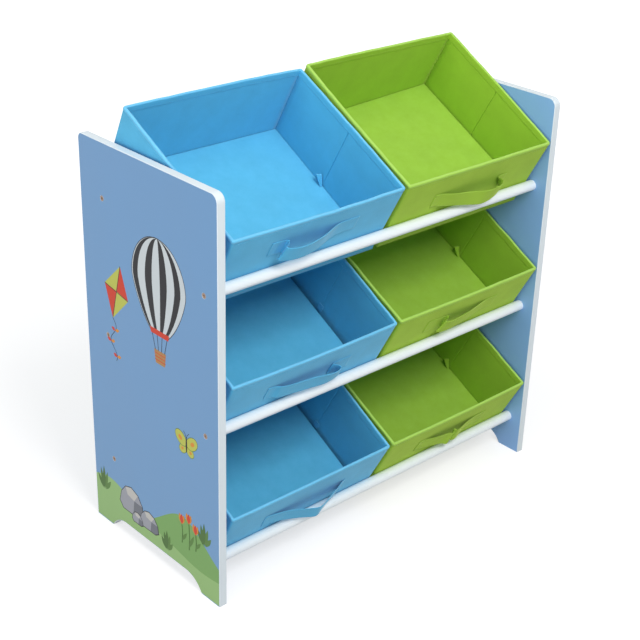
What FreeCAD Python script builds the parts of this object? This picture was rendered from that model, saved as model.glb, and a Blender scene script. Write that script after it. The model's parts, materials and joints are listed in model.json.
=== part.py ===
import FreeCAD, Part
import math
import os
import Sketcher
from FreeCAD import Placement, Rotation, Vector

# Toy storage organizer: two side panels carry three pairs of rods, and two tilted
# fabric bins lie on each pair. Millimetres; X runs across the front from left to
# right, Y from front to rear, Z up. The origin is on the floor, under the middle.

DIMENSIONS = {
    # side panels
    "stand_width": 635.0,
    "panel_depth": 295.0,
    "panel_height": 600.0,
    "panel_thickness": 12.7,
    "front_corner_radius": 12.0,
    "rear_corner_radius": 8.0,
    "foot_length": 41.0,
    "arch_rise": 20.0,
    "arch_radius": 40.0,
    "edge_break": 0.8,
    # rods
    "rod_diameter": 16.0,
    "front_rod_inset": 27.5,
    "rear_rod_inset": 50.5,
    "bottom_rod_height": 58.5,
    "row_pitch": 201.0,
    "rear_rod_rise": 61.0,
    "pilot_spare": 2.0,
    # screws
    "screw_length": 45.0,
    "shank_diameter": 5.0,
    "head_diameter": 8.0,
    "screw_clearance": 0.1,
    # how the bins lie on the rods
    "bin_tilt": 28.0,
    "left_gap": 8.8,
    "column_gap": 7.5,
    "right_gap": 5.3,
    "rod_clearance": 0.4,
    # fabric bins
    "bin_depth": 243.0,
    "bin_height": 121.0,
    "cover_thickness": 0.8,
    "board_thickness": 2.0,
    "liner_thickness": 0.8,
    "base_thickness": 1.6,
    "hem_height": 9.0,
    "strip_gap": 0.4,
    "fold_gap": 1.5,
    # carrying straps on the front walls
    "strap_length": 150.0,
    "strap_width": 25.0,
    "strap_thickness": 1.4,
    "strap_seam": 14.0,
    "strap_rise": 14.4,
    "top_left_bow": 20.0,
    "top_right_bow": 22.0,
    "middle_left_bow": 17.0,
    "middle_right_bow": 18.0,
    "bottom_left_bow": 23.0,
    "bottom_right_bow": 20.0,
    # loose floor boards and their pull tabs
    "floor_thickness": 3.0,
    "floor_clearance": 0.7,
    "floor_seat": 0.3,
    "tab_width": 24.0,
    "tab_height": 12.0,
    "tab_foot": 11.0,
    "tab_thickness": 1.2,
}

ROWS = ("bottom", "middle", "top")
COLUMNS = ("left", "right")
COUNTERSINK_ANGLE = 90  # so a head's cone is as deep as the step in its radius
FULL_TURN = 360
NEAR = 1e-4  # how close an edge lies to the plane that it is said to lie in

doc = FreeCAD.newDocument("toy_organizer")
sheet = doc.addObject("Spreadsheet::Sheet", "dims")
for count, (word, number) in enumerate(DIMENSIONS.items(), start=1):
    sheet.set(f"A{count}", word)
    sheet.set(f"B{count}", str(number))
    sheet.setAlias(f"B{count}", word)
doc.recompute()


class Size:
    """A number together with the sheet formula that gives it."""

    def __init__(self, number, formula=None):
        self.number = number
        self.formula = formula or str(number)

    def __add__(self, other):
        other = as_size(other)
        return Size(self.number + other.number, f"({self.formula} + {other.formula})")

    def __sub__(self, other):
        other = as_size(other)
        return Size(self.number - other.number, f"({self.formula} - {other.formula})")

    def __mul__(self, other):
        other = as_size(other)
        return Size(self.number * other.number, f"{self.formula} * {other.formula}")

    def __truediv__(self, other):
        other = as_size(other)
        return Size(self.number / other.number, f"{self.formula} / ({other.formula})")

    def __neg__(self):
        return Size(-self.number, f"(0 - {self.formula})")


def as_size(value):
    return value if isinstance(value, Size) else Size(value)


def dim(word):
    """A driving dimension of the sheet."""
    return Size(sheet.get(word), f"dims.{word}")


def cosine(angle):
    return Size(math.cos(math.radians(angle.number)), f"cos({angle.formula})")


def sine(angle):
    return Size(math.sin(math.radians(angle.number)), f"sin({angle.formula})")


def root(size):
    return Size(math.sqrt(size.number), f"sqrt({size.formula})")


ZERO = Size(0)


def bind(thing, name, size):
    """Tie a property of an object to the sheet."""
    thing.setExpression(name, size.formula)


def new_body(label):
    body = doc.addObject("PartDesign::Body", label)
    body.Label = label
    return body


def new_sketch(body, name, role, offset=ZERO):
    """A sketch on one of the body's own origin planes, lifted by offset."""
    sketch = body.newObject("Sketcher::SketchObject", f"{body.Name}_{name}")
    plane = next(f for f in body.Origin.OriginFeatures if f.Role == role)
    sketch.AttachmentSupport = (plane, "")
    sketch.MapMode = "FlatFace"
    bind(sketch, "AttachmentOffset.Base.z", offset)
    return sketch


def fix(sketch, way, piece, end, size):
    """Hold one point of a sketch at a distance from the origin along X or Y."""
    if size is ZERO:
        axis = -2 if way == "DistanceX" else -1
        sketch.addConstraint(Sketcher.Constraint("PointOnObject", piece, end, axis))
        return
    index = sketch.addConstraint(
        Sketcher.Constraint(way, -1, 1, piece, end, size.number)
    )
    sketch.setExpression(f"Constraints[{index}]", size.formula)


def place(sketch, piece, end, x, y):
    fix(sketch, "DistanceX", piece, end, x)
    fix(sketch, "DistanceY", piece, end, y)


def join(sketch, before, after, before_end=2, after_end=1):
    sketch.addConstraint(
        Sketcher.Constraint("Coincident", before, before_end, after, after_end)
    )


def line(x, y):
    """A straight step of an outline, to the point x, y."""
    return {"to": (x, y)}


def arc(x, y, centre, turn):
    """A round step to the point x, y about a centre; turn is +1 anticlockwise."""
    return {"to": (x, y), "centre": centre, "turn": turn}


def outline(sketch, start, steps):
    """Draw a closed chain of lines and arcs. The last step ends at the start."""
    here = start
    first = None
    for count, step in enumerate(steps):
        x, y = step["to"]
        a = Vector(here[0].number, here[1].number, 0)
        b = Vector(x.number, y.number, 0)
        if "centre" in step:
            cx, cy = step["centre"]
            centre = Vector(cx.number, cy.number, 0)
            circle = Part.Circle(centre, Vector(0, 0, 1), (a - centre).Length)
            turn = step["turn"]
            ends = (a, b) if turn > 0 else (b, a)
            angles = [math.atan2(p.y - cy.number, p.x - cx.number) for p in ends]
            piece = sketch.addGeometry(Part.ArcOfCircle(circle, *angles))
            begin, finish = (1, 2) if turn > 0 else (2, 1)
            place(sketch, piece, 3, cx, cy)
        else:
            piece = sketch.addGeometry(Part.LineSegment(a, b))
            begin, finish = 1, 2
        if first is None:
            first = (piece, begin)
            place(sketch, piece, begin, *start)
        else:
            join(sketch, before[0], piece, before[1], begin)
        last = count == len(steps) - 1
        if last:
            join(sketch, piece, first[0], finish, first[1])
        elif "centre" in step:
            level = abs(b.y - centre.y) > abs(b.x - centre.x)
            way, size = ("DistanceX", x) if level else ("DistanceY", y)
            fix(sketch, way, piece, finish, size)
        else:
            place(sketch, piece, finish, x, y)
        before = (piece, finish)
        here = (x, y)


def rectangle(sketch, x0, y0, x1, y1):
    outline(sketch, (x0, y0), [line(x1, y0), line(x1, y1), line(x0, y1), line(x0, y0)])


def pad(body, name, sketch, length, backwards=False):
    feature = body.newObject("PartDesign::Pad", f"{body.Name}_{name}")
    feature.Profile = sketch
    feature.Reversed = backwards
    bind(feature, "Length", length)
    sketch.Visibility = False
    return feature


# %% Places that several pieces share

stand_width = dim("stand_width")
panel_depth = dim("panel_depth")
panel_height = dim("panel_height")
panel_thickness = dim("panel_thickness")
rod_diameter = dim("rod_diameter")
rod_radius = rod_diameter / 2
clear_width = stand_width - panel_thickness * 2
front_rod_y = dim("front_rod_inset") - panel_depth / 2
rear_rod_y = panel_depth / 2 - dim("rear_rod_inset")


def front_rod_z(row):
    return dim("bottom_rod_height") + dim("row_pitch") * ROWS.index(row)


def rear_rod_z(row):
    return front_rod_z(row) + dim("rear_rod_rise")


ROD_PLACES = [
    (f"{row}_{side}_rod", y, height(row))
    for row in ROWS
    for side, y, height in (
        ("front", front_rod_y, front_rod_z),
        ("rear", rear_rod_y, rear_rod_z),
    )
]


# %% Side panels: a board with round top corners and an arch between its feet


def panel_outline(sketch):
    front_radius = dim("front_corner_radius")
    rear_radius = dim("rear_corner_radius")
    foot = dim("foot_length")
    rise = dim("arch_rise")
    bend = dim("arch_radius")
    reach = root(bend * rise * 2 - rise * rise)
    arch_front = foot + reach
    arch_rear = panel_depth - foot - reach
    steps = [
        line(foot, ZERO),
        arc(arch_front, rise, (arch_front, rise - bend), -1),
        line(arch_rear, rise),
        arc(panel_depth - foot, ZERO, (arch_rear, rise - bend), -1),
        line(panel_depth, ZERO),
        line(panel_depth, panel_height - rear_radius),
        arc(
            panel_depth - rear_radius,
            panel_height,
            (panel_depth - rear_radius, panel_height - rear_radius),
            +1,
        ),
        line(front_radius, panel_height),
        arc(
            ZERO,
            panel_height - front_radius,
            (front_radius, panel_height - front_radius),
            +1,
        ),
        line(ZERO, ZERO),
    ]
    outline(sketch, (ZERO, ZERO), steps)


def face_edges(feature, x_places):
    """Names of the edges around the faces at x, without those of the soles."""
    names = []
    for number, edge in enumerate(feature.Shape.Edges, start=1):
        box = edge.BoundBox
        flat = any(max(abs(box.XMin - x), abs(box.XMax - x)) < NEAR for x in x_places)
        if flat and box.ZMax > NEAR:
            names.append(f"Edge{number}")
    return names


def make_panel(side):
    """One side panel, with a countersunk screw hole at each rod."""
    body = new_body(f"{side}_panel")
    board = pad(body, "board", new_sketch(body, "outline", "YZ_Plane"), panel_thickness)
    panel_outline(board.Profile[0])
    doc.recompute()
    broken = body.newObject("PartDesign::Chamfer", f"{side}_panel_edges")
    broken.Base = (board, face_edges(board, (0.0, panel_thickness.number)))
    bind(broken, "Size", dim("edge_break"))
    outer = ZERO if side == "left" else panel_thickness
    spots = new_sketch(body, "hole_spots", "YZ_Plane", outer)
    for _, y, z in ROD_PLACES:
        radius = dim("shank_diameter") / 2
        spot = spots.addGeometry(
            Part.Circle(Vector(0, 0, 0), Vector(0, 0, 1), radius.number)
        )
        place(spots, spot, 3, y + panel_depth / 2, z)
        index = spots.addConstraint(Sketcher.Constraint("Radius", spot, radius.number))
        spots.setExpression(f"Constraints[{index}]", radius.formula)
    doc.recompute()
    holes = body.newObject("PartDesign::Hole", f"{side}_panel_holes")
    holes.Profile = spots
    doc.recompute()
    holes.Threaded = False
    holes.DepthType = "ThroughAll"
    holes.HoleCutType = "Countersink"
    holes.HoleCutCustomValues = True
    holes.HoleCutCountersinkAngle = COUNTERSINK_ANGLE
    holes.Reversed = side == "left"
    gap = dim("screw_clearance")
    bind(holes, "Diameter", dim("shank_diameter") + gap * 2)
    bind(holes, "HoleCutDiameter", dim("head_diameter") + gap * 2)
    spots.Visibility = False
    wall = -stand_width / 2
    if side == "right":
        wall = stand_width / 2 - panel_thickness
    bind(body, "Placement.Base.x", wall)
    bind(body, "Placement.Base.y", -panel_depth / 2)
    return body


# %% Rods: round bars between the panels, bored at both ends for the screws


def make_rod(label, y, z):
    body = new_body(label)
    section = new_sketch(body, "section", "YZ_Plane")
    circle = section.addGeometry(
        Part.Circle(Vector(0, 0, 0), Vector(0, 0, 1), rod_radius.number)
    )
    join(section, circle, -1, 3, 1)
    index = section.addConstraint(
        Sketcher.Constraint("Radius", circle, rod_radius.number)
    )
    section.setExpression(f"Constraints[{index}]", rod_radius.formula)
    pad(body, "bar", section, clear_width)
    doc.recompute()
    bite = dim("screw_length") - panel_thickness + dim("pilot_spare")
    bore_radius = dim("shank_diameter") / 2 + dim("screw_clearance")
    for end, offset, backwards in (("left", ZERO, True), ("right", clear_width, False)):
        mouth = new_sketch(body, f"{end}_bore", "YZ_Plane", offset)
        hole = mouth.addGeometry(
            Part.Circle(Vector(0, 0, 0), Vector(0, 0, 1), bore_radius.number)
        )
        join(mouth, hole, -1, 3, 1)
        index = mouth.addConstraint(
            Sketcher.Constraint("Radius", hole, bore_radius.number)
        )
        mouth.setExpression(f"Constraints[{index}]", bore_radius.formula)
        bore = body.newObject("PartDesign::Pocket", f"{label}_{end}_pilot")
        bore.Profile = mouth
        bore.Reversed = backwards
        bind(bore, "Length", bite)
        mouth.Visibility = False
    bind(body, "Placement.Base.x", panel_thickness - stand_width / 2)
    bind(body, "Placement.Base.y", y)
    bind(body, "Placement.Base.z", z)
    return body


# %% Screws: a countersunk head and a plain shank


def make_screw(label, side, y, z):
    """One screw that points inwards, with its head flush in the panel."""
    body = new_body(label)
    head = dim("head_diameter") / 2
    shank = dim("shank_diameter") / 2
    length = dim("screw_length")
    profile = new_sketch(body, "profile", "XY_Plane")
    steps = [
        line(ZERO, head),
        line(head - shank, shank),
        line(length, shank),
        line(length, ZERO),
        line(ZERO, ZERO),
    ]
    outline(profile, (ZERO, ZERO), steps)
    turned = body.newObject("PartDesign::Revolution", f"{label}_turned")
    turned.Profile = profile
    turned.ReferenceAxis = (profile, ["H_Axis"])
    turned.Angle = FULL_TURN
    profile.Visibility = False
    facing = 0 if side == "left" else FULL_TURN / 2
    body.Placement = Placement(Vector(), Rotation(Vector(0, 0, 1), facing))
    bind(body, "Placement.Base.x", -stand_width / 2 if side == "left" else stand_width / 2)
    bind(body, "Placement.Base.y", y)
    bind(body, "Placement.Base.z", z)
    return body


def make_screws(side):
    """The six screws of one panel, as one group of separate solids."""
    group = doc.addObject("Part::Compound", f"{side}_panel_screws")
    group.Label = f"{side}_panel_screws"
    group.Links = [
        make_screw(f"{side}_{rod}_screw", side, y, z) for rod, y, z in ROD_PLACES
    ]
    return group


# %% Fabric bins, each modelled in its own frame: X across, Y along its floor to
# the rear, Z up its walls, from the left end of its lower front edge

tilt = dim("bin_tilt")
bin_width = (
    clear_width - dim("left_gap") - dim("column_gap") - dim("right_gap")
) / 2
bin_depth = dim("bin_depth")
bin_height = dim("bin_height")
cover_thickness = dim("cover_thickness")
board_thickness = dim("board_thickness")
liner_thickness = dim("liner_thickness")
base_thickness = dim("base_thickness")
wall_thickness = cover_thickness + board_thickness + liner_thickness
wall_height = bin_height - base_thickness
hem_height = dim("hem_height")

# from a rod's middle to a bin's wall or base
stand_off = rod_radius + dim("rod_clearance")
# height up a bin's front wall of the middle of the rod that it leans on
lean_height = (
    (rear_rod_y - front_rod_y) * sine(tilt)
    - dim("rear_rod_rise") * cosine(tilt)
    - stand_off
)


def bin_place(body, row, column):
    """Lay a bin's base on the rear rod and lean its front wall on the front rod."""
    along = front_rod_y * cosine(tilt) + front_rod_z(row) * sine(tilt) + stand_off
    above = rear_rod_z(row) * cosine(tilt) - rear_rod_y * sine(tilt) + stand_off
    x = dim("left_gap") - clear_width / 2
    if column == "right":
        x = x + bin_width + dim("column_gap")
    body.Placement = Placement(Vector(), Rotation(Vector(1, 0, 0), tilt.number))
    bind(body, "Placement.Base.x", x)
    bind(body, "Placement.Base.y", along * cosine(tilt) - above * sine(tilt))
    bind(body, "Placement.Base.z", along * sine(tilt) + above * cosine(tilt))
    bind(body, "Placement.Rotation.Angle", tilt)


def bin_piece(name, piece):
    """A body that lies with its bin's base."""
    body = new_body(f"{name}_{piece}")
    if piece != "base":
        body.setExpression("Placement", f"{name}_base.Placement")
    return body


def make_base(name, row, column):
    """The sewn fabric bottom, under all the walls."""
    body = bin_piece(name, "base")
    cut = new_sketch(body, "cut", "XY_Plane")
    rectangle(cut, ZERO, ZERO, bin_width, bin_depth)
    pad(body, "cloth", cut, base_thickness)
    bin_place(body, row, column)
    return body


def make_band(name, piece, inset, thickness):
    """A band of fabric around the four walls, at an inset from the outside."""
    body = bin_piece(name, piece)
    plan = new_sketch(body, "plan", "XY_Plane", base_thickness)
    inner = inset + thickness
    rectangle(plan, inset, inset, bin_width - inset, bin_depth - inset)
    rectangle(plan, inner, inner, bin_width - inner, bin_depth - inner)
    pad(body, "cloth", plan, wall_height)
    return body


def wall_strips(sketch, *sides):
    """Strips inside the cover: front, rear, and stretches of both side walls."""
    outer = cover_thickness
    inner = outer + board_thickness
    rectangle(sketch, outer, outer, bin_width - outer, inner)
    rectangle(sketch, outer, bin_depth - inner, bin_width - outer, bin_depth - outer)
    for low, high in sides:
        rectangle(sketch, outer, low, inner, high)
        rectangle(sketch, bin_width - inner, low, bin_width - outer, high)


side_start = cover_thickness + board_thickness + dim("strip_gap")
side_end = bin_depth - side_start


def make_boards(name):
    """Six stiff boards in the walls. The side ones are split where they fold."""
    body = bin_piece(name, "wall_boards")
    plan = new_sketch(body, "plan", "XY_Plane", base_thickness)
    fold_start = (bin_depth - dim("fold_gap")) / 2
    fold_end = (bin_depth + dim("fold_gap")) / 2
    wall_strips(plan, (side_start, fold_start), (fold_end, side_end))
    pad(body, "boards", plan, wall_height - hem_height)
    return body


def make_hem(name):
    """Turned-in cloth along each wall, which fills the rim above the boards."""
    body = bin_piece(name, "rim_hem")
    plan = new_sketch(body, "plan", "XY_Plane", bin_height - hem_height)
    wall_strips(plan, (side_start, side_end))
    pad(body, "cloth", plan, hem_height)
    return body


def make_strap(name, bow):
    """A ribbon sewn flat to the front wall at both ends, bowed out over the rod."""
    body = bin_piece(name, "handle")
    strap_bottom = lean_height + rod_radius + dim("strap_rise")
    plan = new_sketch(body, "plan", "XY_Plane", strap_bottom)
    thick = dim("strap_thickness")
    middle = bin_width / 2
    half = dim("strap_length") / 2
    span = half - dim("strap_seam")
    bend = (span * span + bow * bow) / (bow * 4)
    left_end, right_end = middle - half, middle + half
    left, right = middle - span, middle + span
    tilt_x = span / 2
    inner_y = -bow / 2
    share = thick / bend / 2
    outer_x = tilt_x + span * share
    outer_y = inner_y - (bend * 2 - bow) * share
    left_centre = (left, -bend)
    right_centre = (right, -bend)
    crown = (middle, bend - bow)
    steps = [
        line(left, ZERO),
        arc(middle - tilt_x, inner_y, left_centre, -1),
        arc(middle + tilt_x, inner_y, crown, +1),
        arc(right, ZERO, right_centre, -1),
        line(right_end, ZERO),
        line(right_end, -thick),
        line(right, -thick),
        arc(middle + outer_x, outer_y, right_centre, +1),
        arc(middle - outer_x, outer_y, crown, -1),
        arc(left, -thick, left_centre, +1),
        line(left_end, -thick),
        line(left_end, ZERO),
    ]
    outline(plan, (left_end, ZERO), steps)
    pad(body, "ribbon", plan, dim("strap_width"))
    return body


# %% Floor boards: loose, lifted out by a tab at the right edge

floor_margin = wall_thickness + dim("floor_clearance")
floor_bottom = base_thickness + dim("floor_seat")
floor_top = floor_bottom + dim("floor_thickness")
floor_right = bin_width - floor_margin


def make_floor(name):
    body = bin_piece(name, "floor_board")
    plan = new_sketch(body, "plan", "XY_Plane", floor_bottom)
    far_y = bin_depth - floor_margin
    rectangle(plan, floor_margin, floor_margin, floor_right, far_y)
    pad(body, "board", plan, dim("floor_thickness"))
    return body


def make_tab(name):
    """An angle of ribbon: its foot is sewn to the board, and its leaf stands up."""
    body = bin_piece(name, "floor_tab")
    section = new_sketch(body, "section", "XZ_Plane", -(bin_depth + dim("tab_width")) / 2)
    thick = dim("tab_thickness")
    foot = floor_right - dim("tab_foot")
    steps = [
        line(floor_right, floor_top),
        line(floor_right, floor_top + dim("tab_height")),
        line(floor_right - thick, floor_top + dim("tab_height")),
        line(floor_right - thick, floor_top + thick),
        line(foot, floor_top + thick),
        line(foot, floor_top),
    ]
    outline(section, (foot, floor_top), steps)
    pad(body, "ribbon", section, dim("tab_width"))
    return body


def make_bin(row, column):
    name = f"{row}_{column}_bin"
    inset = cover_thickness + board_thickness
    return [
        make_base(name, row, column),
        make_band(name, "cover", ZERO, cover_thickness),
        make_band(name, "liner", inset, liner_thickness),
        make_boards(name),
        make_hem(name),
        make_strap(name, dim(f"{row}_{column}_bow")),
        make_floor(name),
        make_tab(name),
    ]


# %% The whole organizer

sub_parts = [make_panel(side) for side in COLUMNS]
sub_parts += [make_rod(label, y, z) for label, y, z in ROD_PLACES]
sub_parts += [make_screws(side) for side in COLUMNS]
for row in ROWS:
    for column in COLUMNS:
        sub_parts += make_bin(row, column)
doc.recompute()

failed = [
    thing.Name
    for thing in doc.Objects
    if "Invalid" in thing.State or "Error" in thing.State
]
for thing in sub_parts:
    if thing.Shape.isNull() or not thing.Shape.isValid():
        failed.append(thing.Label)
if failed:
    raise RuntimeError("these objects failed: " + ", ".join(failed))

os.makedirs("parts", exist_ok=True)
for thing in sub_parts:
    thing.Shape.exportStep(f"parts/{thing.Label}.step")
    print(thing.Label, len(thing.Shape.Solids), round(thing.Shape.Volume, 1))
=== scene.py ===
# %% [markdown]
# # A toy organizer with six fabric bins
# The organizer is a stand of two painted boards and six white rods, and six sewn
# bins lie tilted on the rods. The construction comes in as a fixed frame of plain
# solids. This lesson dresses that frame: it gives the boards and rods their paint,
# and sews each bin anew as cloth. Lengths are metres, X runs from left to right
# along the front, Y from front to rear, and Z up.

# %% Load the frame
import json
import math

import bmesh
import bpy
import numpy as np
from mathutils import Matrix, Vector, noise


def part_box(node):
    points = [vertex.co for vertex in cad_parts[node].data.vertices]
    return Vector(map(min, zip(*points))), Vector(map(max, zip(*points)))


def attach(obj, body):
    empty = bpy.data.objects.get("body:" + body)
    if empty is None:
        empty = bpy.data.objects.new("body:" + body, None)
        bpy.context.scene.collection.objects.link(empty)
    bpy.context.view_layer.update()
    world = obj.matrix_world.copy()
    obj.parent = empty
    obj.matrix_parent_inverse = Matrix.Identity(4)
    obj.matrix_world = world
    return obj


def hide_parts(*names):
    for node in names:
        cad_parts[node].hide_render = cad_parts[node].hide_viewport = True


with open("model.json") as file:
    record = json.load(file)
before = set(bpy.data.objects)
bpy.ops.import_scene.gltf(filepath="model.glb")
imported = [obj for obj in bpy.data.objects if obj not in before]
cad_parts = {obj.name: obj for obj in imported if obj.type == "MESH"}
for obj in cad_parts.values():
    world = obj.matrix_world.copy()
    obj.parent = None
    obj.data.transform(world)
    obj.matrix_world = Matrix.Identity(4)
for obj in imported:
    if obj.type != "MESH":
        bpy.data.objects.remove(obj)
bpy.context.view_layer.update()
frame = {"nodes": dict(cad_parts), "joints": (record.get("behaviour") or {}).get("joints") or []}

MM = 0.001
print("nodes in the frame:", len(frame["nodes"]))

# %% [markdown]
# ## Where the bins lie
# Every bin is drawn in its own space: X across, V along its floor to the rear, W up
# its walls. The slide joints of the frame run straight up the walls, so their axis
# gives W, and the corner of the bin's sewn bottom gives the place. All the sizes
# of a bin can then be read off its solids in that space.

# %% The bins' spaces
ROWS = ("bottom", "middle", "top")
COLUMNS = ("left", "right")
BINS = [(row, column) for row in ROWS for column in COLUMNS]
joints = {joint["name"]: joint for joint in frame["joints"]}


def corners_in(node, space):
    """The lowest and highest corner of a node, in a space of its own."""
    inverse = np.array(space.inverted())
    mesh = frame["nodes"][node].data
    places = np.ones((len(mesh.vertices), 4))
    places[:, :3] = [vertex.co for vertex in mesh.vertices]
    local = (places @ inverse.T)[:, :3]
    return Vector(local.min(0)), Vector(local.max(0))


def bin_space(row, column):
    """The matrix from a bin's own space to the frame."""
    up = Vector(joints[f"{row}_{column}_bin_lift"]["axis"]).normalized()
    across = Vector((1, 0, 0))
    turned = Matrix((across, up.cross(across), up)).transposed().to_4x4()
    corner, _ = corners_in(f"{row}_{column}_bin_base", turned)
    return Matrix.Translation(turned @ corner) @ turned


first = bin_space("top", "left")
WIDTH, DEPTH, BASE = corners_in("top_left_bin_base", first)[1]
HEIGHT = corners_in("top_left_bin_cover", first)[1].z
HEM = corners_in("top_left_bin_rim_hem", first)[0].z
LINING_INSET = corners_in("top_left_bin_liner", first)[0].x
print("a bin in mm:", [round(size / MM, 1) for size in (WIDTH, DEPTH, HEIGHT, BASE, HEM)])

# %% [markdown]
# ## The camera
# The photographer stood high in front of the left end. The place and the focal
# length were worked out from the boards' corners and the rods. The three
# directions are the rows of the camera's turn: right, down and ahead.

# %% Camera
def show(name, data, matrix=None):
    """A new object in the scene, in its place."""
    made = bpy.data.objects.new(name, data)
    if matrix is not None:
        made.matrix_world = matrix
    bpy.context.scene.collection.objects.link(made)
    return made


LENS, SENSOR = 75.15, 36  # in mm
CAMERA_PLACE = Vector((-1.2172, -1.2989, 1.1664))
VIEW_RIGHT = Vector((0.74181917, -0.6700108, 0.02810414))
VIEW_DOWN = Vector((-0.27982978, -0.34736225, -0.89500546))
VIEW_AHEAD = Vector((0.60942564, 0.65606783, -0.44516895))

camera_data = bpy.data.cameras.new("photo_view")
camera_data.lens = LENS
camera_data.sensor_width = SENSOR
turn = Matrix((VIEW_RIGHT, -VIEW_DOWN, -VIEW_AHEAD)).transposed().to_4x4()
camera = show("photo_view", camera_data, Matrix.Translation(CAMERA_PLACE) @ turn)
bpy.context.scene.camera = camera
print("camera at", [round(x, 3) for x in CAMERA_PLACE])

# %% [markdown]
# ## A plain studio
# The background of a catalogue photo is paper white, with a faint soft shadow. A
# floor that is lit to pure white would also throw too much light on the object.
# So the floor shines a little by itself, but only to the camera and to
# reflections, and its diffuse share still takes the shadow. It shines more far away,
# where the lamps do not reach, so that it meets the white background unseen.

# %% Helpers that add shader nodes
WHITE = (1, 1, 1, 1)


def plug(tree, node, links):
    """Fill a node's inputs. links maps their names to sockets or values."""
    for key, value in links.items():
        if isinstance(value, bpy.types.NodeSocket):
            tree.links.new(value, node.inputs[key])
        else:
            node.inputs[key].default_value = value
    return node


def shade(tree, kind, links=None, **settings):
    """A new shader node with its settings, and its inputs filled."""
    node = tree.nodes.new("ShaderNode" + kind)
    for word, value in settings.items():
        setattr(node, word, value)
    return plug(tree, node, links or {})


def math_node(tree, operation, *values, clamp=False):
    """The result of a calculation with one to three values."""
    links = dict(enumerate(values))
    return shade(tree, "Math", links, operation=operation, use_clamp=clamp).outputs[0]


def mix(tree, share, first_colour, second_colour, **settings):
    """The first colour at share 0, the second at share 1."""
    links = {0: share, 6: first_colour, 7: second_colour}
    return shade(tree, "Mix", links, data_type="RGBA", **settings).outputs[2]


def ramp(tree, value, low, high, bottom=0.0, top=1.0, shape="SMOOTHSTEP"):
    """From bottom to top while a value goes from low to high."""
    links = {0: value, 1: low, 2: high, 3: bottom, 4: top}
    return shade(tree, "MapRange", links, interpolation_type=shape).outputs[0]


def speckle(tree, place, scale, detail, roughness=0.5):
    """Cloudy noise, about 0.5 on average."""
    links = {"Vector": place, "Scale": scale, "Detail": detail, "Roughness": roughness}
    return shade(tree, "TexNoise", links).outputs[0]


def new_material(name):
    """A material with an empty node tree, and its output node."""
    material = bpy.data.materials.new(name)
    material.use_nodes = True
    material.node_tree.nodes.clear()
    return material, shade(material.node_tree, "OutputMaterial")


def seen_directly(tree):
    """1 for rays from the camera and for mirrored or bent ones, else 0."""
    rays = shade(tree, "LightPath")
    glossy = math_node(tree, "MAXIMUM", rays.outputs["Is Camera Ray"], rays.outputs["Is Glossy Ray"])
    return math_node(tree, "MAXIMUM", glossy, rays.outputs["Is Transmission Ray"])


# %% Floor
FLOOR_SIZE = 12.0
FLOOR_GREY = (0.52, 0.5, 0.5, 1)
NEAR, FAR = 0.5, 2.4
NEAR_GLOW, FAR_GLOW = 0.62, 0.95

floor_paint, floor_out = new_material("studio_floor")
tree = floor_paint.node_tree
matt = shade(tree, "BsdfDiffuse", {"Color": FLOOR_GREY}).outputs[0]
place = shade(tree, "TexCoord").outputs["Object"]
away = shade(tree, "VectorMath", {0: place}, operation="LENGTH").outputs["Value"]
strength = ramp(tree, away, NEAR, FAR, NEAR_GLOW, FAR_GLOW, shape="LINEAR")
glow = shade(tree, "Emission", {"Color": WHITE, "Strength": strength}).outputs[0]
both = shade(tree, "AddShader", {0: matt, 1: glow}).outputs[0]
pick = shade(tree, "MixShader", {0: seen_directly(tree), 1: matt, 2: both})
tree.links.new(pick.outputs[0], floor_out.inputs["Surface"])

half = FLOOR_SIZE / 2
corners = [(-half, -half, 0), (half, -half, 0), (half, half, 0), (-half, half, 0)]
floor_mesh = bpy.data.meshes.new("studio_floor")
floor_mesh.from_pydata(corners, [], [(0, 1, 2, 3)])
floor_mesh.materials.append(floor_paint)
floor = show("studio_floor", floor_mesh)
print("floor:", FLOOR_SIZE, "m wide")

# %% [markdown]
# The world is white to the camera, but gives the object a weaker light with a cool
# tint, as the photo's shadows have. Three soft lamps do the rest: a faint one
# overhead, a strong one in front, and one on the left for the printed board.

# %% World and lamps
AMBIENT = 0.46
AMBIENT_TINT = (0.86, 0.96, 1, 1)
MIDDLE = Vector((0, 0, 0.3))

world = bpy.data.worlds.new("studio")
bpy.context.scene.world = world
world.use_nodes = True
tree = world.node_tree
tree.nodes.clear()
direct = seen_directly(tree)
tint = mix(tree, direct, AMBIENT_TINT, WHITE)
strength = ramp(tree, direct, 0.0, 1.0, AMBIENT, 1.0, shape="LINEAR")
paper = shade(tree, "Background", {"Color": tint, "Strength": strength})
tree.links.new(paper.outputs[0], shade(tree, "OutputWorld").inputs["Surface"])


def softbox(name, place, size, watts):
    """A square lamp that looks at the middle of the organizer."""
    lamp = bpy.data.lights.new(name, "AREA")
    lamp.shape = "SQUARE"
    lamp.size = size
    lamp.energy = watts
    box = show(name, lamp)
    box.location = place
    box.rotation_euler = (MIDDLE - Vector(place)).to_track_quat("-Z", "Y").to_euler()


softbox("overhead_softbox", (-0.3, -0.6, 2.3), 1.6, 8)
softbox("front_softbox", (-0.45, -1.85, 2.25), 1.0, 38)
softbox("left_softbox", (-2.4, -0.15, 0.95), 1.2, 19)
bpy.context.scene.view_settings.view_transform = "Standard"

# %% [markdown]
# ## Shared effects
# A few effects come back in many materials: the dimples and fibres of pressed
# cloth, the faint skin of sprayed paint, and a painted sheen, a pale veil in
# specks on whatever faces up, as light from above would whiten it. Each is a
# node group with named inputs. A group gives out only colours and values, and
# the shader itself stays in the material.

# %% Helpers for node groups
GREY = (0.5, 0.5, 0.5, 1)


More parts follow.
